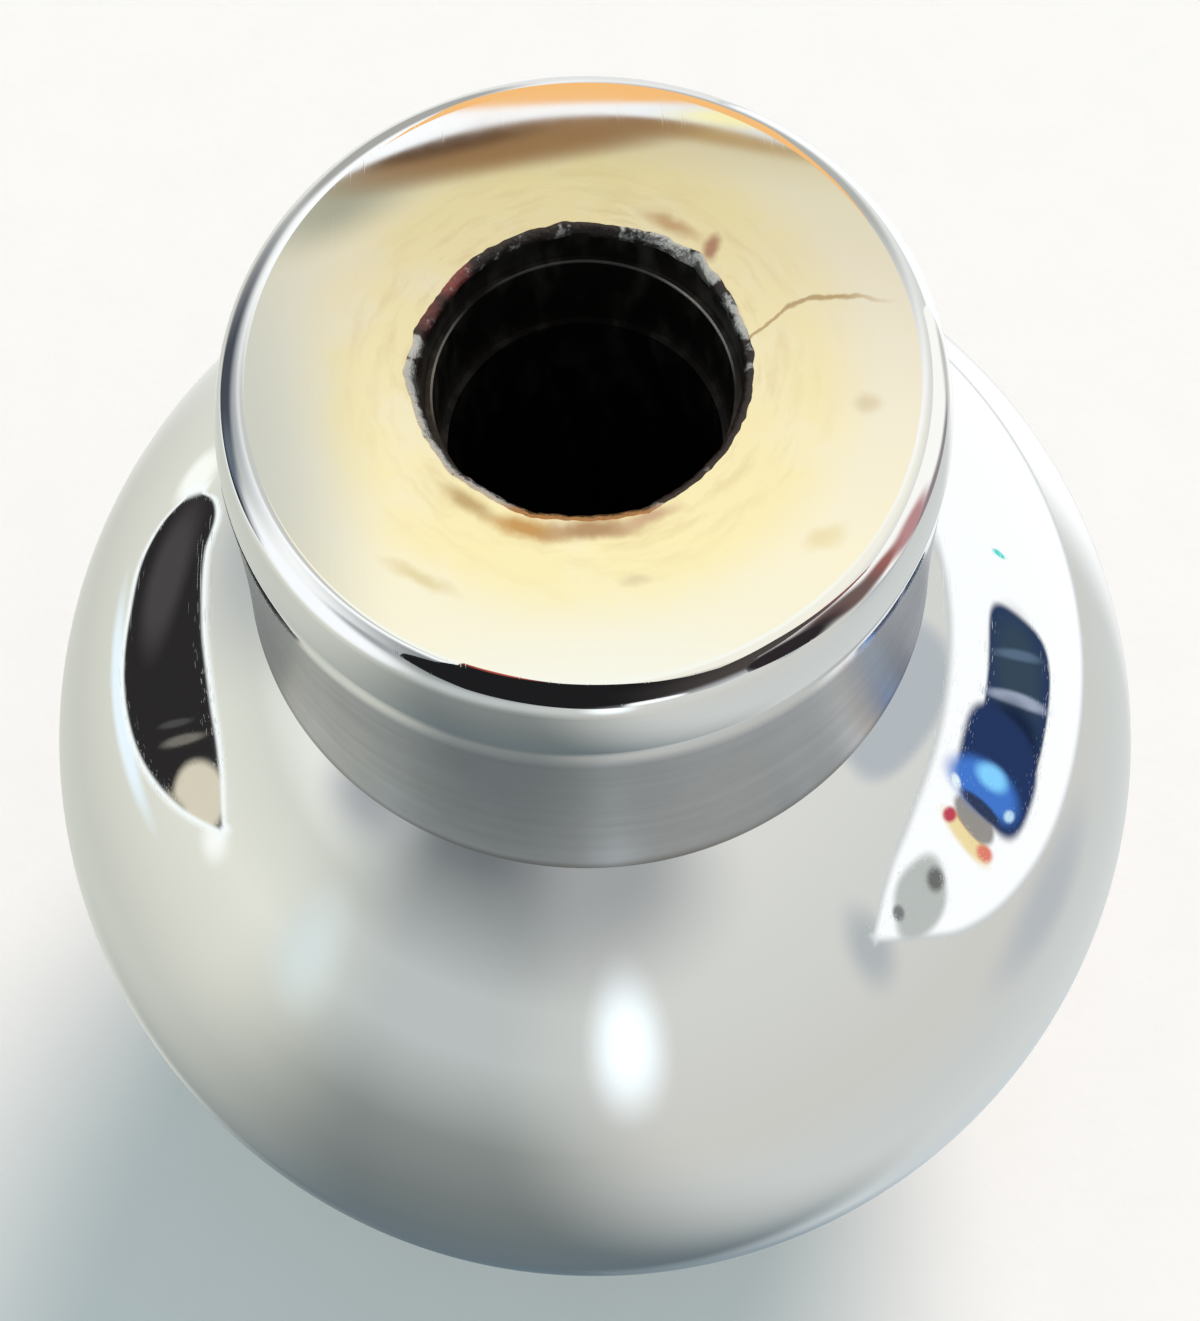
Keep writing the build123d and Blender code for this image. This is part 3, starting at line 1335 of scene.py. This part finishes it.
@dataclass
class NearCard:
    """A small card close to the rim, for the dark lines that the rim's tight edge mirrors.

    It shows only in the metal. Its corners and spots are in millimetres from its middle, which lies
    at the card's distance from the middle of the hole's mouth, in the direction that is given in
    degrees as on the tent.
    """

    name: str
    distance: float
    azimuth: float
    elevation: float
    corners: tuple[Point, ...]
    felt: str
    spots: tuple[Spot, ...]
    edge: Spot | None = None

    def build(self, target: float) -> bpy.types.Object:
        """Make the card, which is hidden from the camera, from diffuse light and from shadows.

        Args:
            target: Height of the rim above the bench, in millimetres.

        Returns:
            The card.
        """
        sheet = bmesh.new()
        sheet.faces.new([sheet.verts.new((x * MM, y * MM, 0.0)) for x, y in reversed(self.corners)])
        card = put_in_scene(sheet, self.name, self.dress())
        tip, way = radians(self.elevation), radians(self.azimuth)
        back = Vector((cos(tip) * sin(way), -cos(tip) * cos(way), sin(tip)))
        across = Vector((cos(way), sin(way), 0.0))
        turn = Matrix((across, back.cross(across), back)).transposed()
        place = back * self.distance + Vector((0.0, 0.0, target))
        card.matrix_world = Matrix.Translation(place * MM) @ turn.to_4x4()
        card.visible_camera = card.visible_diffuse = card.visible_shadow = False
        return card

    def dress(self) -> bpy.types.Material:
        """Cover the card in felt with its spots of colour. A card with a soft edge fades out there.

        Returns:
            The material.
        """
        material, add, shader, place = start_material(self.name + "_felt")
        material.node_tree.nodes.remove(shader)
        colour: Tone = linear(self.felt)
        for spot in self.spots:
            colour = spot.paint(add, place, colour)
        glow = add("Emission", (colour, LAMP_LEVEL))
        if self.edge:
            clear = add("BsdfTransparent")
            glow = add("MixShader", (self.edge.mask(add, place), clear, glow))
        feed(material.node_tree.nodes["Material Output"], {0: glow})
        return material


FRONT_CARD = NearCard(
    name="front_card",
    distance=17.0,
    azimuth=0.0,
    elevation=38.0,
    corners=(
        (-5.6, 28.0), (-4.0, 25.5), (-2.7, 21.5), (0.0, 14.9), (3.1, 7.3), (4.9, 4.8), (6.9, 3.6),
        (10.5, 7.2), (15.9, 8.6), (25.6, 9.8), (45.0, 12.0), (38.0, 7.5), (30.0, 3.5), (25.0, 0.5),
        (21.0, -3.0), (18.0, -5.5), (14.0, -8.0), (9.0, -10.0), (6.2, -9.4), (5.2, -9.9), (2.4, -10.6),
        (0.0, -10.3), (-4.2, -8.4), (-8.7, -6.6), (-10.8, -3.9), (-13.0, 0.0), (-11.6, 4.0),
        (-8.4, 9.0), (-6.4, 18.0),
    ),
    felt="#1D1D1E",
    spots=(
        Spot(16.0, -2.0, 11.0, 14.0, "#4B4542", softness=0.9),
        Spot(32.0, 4.0, 13.0, 12.0, "#93868A", softness=0.9),
        Spot(22.0, 9.0, 9.0, 1.6, "#8E4A45", tilt=4.0, softness=1.2),
        Spot(-3.0, 24.5, 2.4, 4.5, "#C25A48", tilt=20.0, softness=1.0),
        Spot(10.0, -10.5, 10.0, 4.0, "#B4B4B6", tilt=20.0, softness=1.4),
        Spot(4.2, -9.2, 2.0, 1.7, squareness=3.0, softness=0.5),
    ),
)
LEFT_CARD = NearCard(
    name="left_card",
    distance=15.0,
    azimuth=-128.0,
    elevation=8.0,
    corners=(
        (-12.0, -8.0), (6.5, -8.0), (9.1, -6.3), (12.4, -4.9), (15.5, -3.4), (17.0, 7.0), (-12.0, 7.0),
    ),
    felt="#474B53",
    spots=(
        Spot(-2.5, -3.0, 5.0, 4.5, "#8C8C90", softness=1.0),
        Spot(11.5, -1.5, 3.0, 5.0, "#626C78", softness=1.0),
    ),
    edge=Spot(6.0, -1.7, 8.6, 3.9, tilt=-3.0, softness=0.9),
)
GLOW_CARD = NearCard(
    name="glow_card",
    distance=14.0,
    azimuth=-72.0,
    elevation=12.0,
    corners=(
        (-5.0, -7.4), (1.6, -6.9), (4.5, -6.2), (7.7, -5.0), (12.0, -2.7), (12.0, 5.0), (-5.0, 5.0),
    ),
    felt="#FCFDFF",
    spots=(),
    edge=Spot(3.4, -1.8, 5.6, 3.6, softness=0.9),
)
RIGHT_CARD = NearCard(
    name="right_card",
    distance=14.0,
    azimuth=78.0,
    elevation=6.0,
    corners=(
        (-14.5, 1.0), (-9.5, -2.5), (-6.4, -4.3), (-4.3, -5.4), (-2.2, -6.3), (2.0, -7.3), (5.2, -7.9),
        (10.5, -8.8), (11.5, 4.5), (-3.5, 4.5), (-7.0, 8.0), (-13.0, 9.5),
    ),
    felt="#FBF9F4",
    spots=(
        Spot(8.0, -5.2, 2.6, 2.8, "#C2C2BC", softness=1.0),
        Spot(3.4, -6.4, 2.8, 2.6, "#8C868A", softness=1.0),
        Spot(0.6, -5.4, 2.2, 2.2, "#8C8086", tilt=-30.0, softness=1.0),
        Spot(-1.5, -2.2, 1.7, 3.4, "#B88A8A", softness=0.9),
        Spot(-4.0, -0.5, 1.5, 3.0, "#9A625D", softness=0.9),
        Spot(-6.3, 1.2, 2.0, 6.2, "#6F5B57", tilt=8.0, softness=0.8),
        Spot(-10.9, 2.2, 4.0, 7.2, "#2C2729", tilt=6.0, softness=0.7),
    ),
)


@dataclass
class Viewpoint:
    """A hand-held camera close above the knob, in units of the picture's pixels where it says so."""

    distance: float = 72.0
    elevation: float = 68.86
    lean: float = -2.0
    lens_pixels: float = 2350.0
    aim: Point = (595.35, 736.37)
    frame_size: tuple[int, int] = (1200, 1321)
    sensor: float = 36.0
    clip: Point = (2.0, 20000.0)

    def build(self, target: float) -> bpy.types.Object:
        """Place the camera so that the ball's middle lands on the aimed pixel.

        Args:
            target: Height of the ball's middle above the bench, in millimetres.

        Returns:
            The camera.
        """
        width, height = self.frame_size
        tip = radians(self.elevation)
        back = Vector((0.0, -cos(tip), sin(tip)))
        right = Vector((1.0, 0.0, 0.0))
        # The picture's right, down and away, as rows, before the camera is swung off its middle
        level = Matrix((right, -right.cross(-back), -back))
        off = Vector((self.aim[0] - width / 2, self.aim[1] - height / 2, self.lens_pixels)).normalized()
        swing = Vector((0.0, 0.0, 1.0)).rotation_difference(off).to_matrix()
        axes = swing @ Matrix.Rotation(radians(self.lean), 3, "Z") @ level
        data = bpy.data.cameras.new("viewpoint")
        data.sensor_width = self.sensor
        data.lens = self.sensor * self.lens_pixels / max(width, height)
        data.clip_start, data.clip_end = (reach * MM for reach in self.clip)
        camera = bpy.data.objects.new("viewpoint", data)
        place = back * self.distance + Vector((0.0, 0.0, target))
        turn = Matrix((axes[0], -axes[1], -axes[2])).transposed()
        camera.matrix_world = Matrix.Translation(place * MM) @ turn.to_4x4()
        bpy.context.scene.collection.objects.link(camera)
        bpy.context.scene.camera = camera
        return camera


def main() -> None:
    """Build the knob, its bench, the light tent and the camera."""
    logging.basicConfig(level=logging.INFO, format="%(message)s")
    knob = Knob()
    piece = knob.build()
    log.info("%s: %d faces", piece.name, len(piece.data.polygons))
    log.info("%s: stage", Bench().build().name)
    for card in (FRONT_CARD, LEFT_CARD, GLOW_CARD, RIGHT_CARD):
        log.info("%s: stage", card.build(knob.rim_height).name)
    LightTent().build()
    log.info("%s: set", Viewpoint().build(knob.ball_height).name)
    bpy.context.scene.view_settings.view_transform = "Standard"


if __name__ == "__main__":
    main()
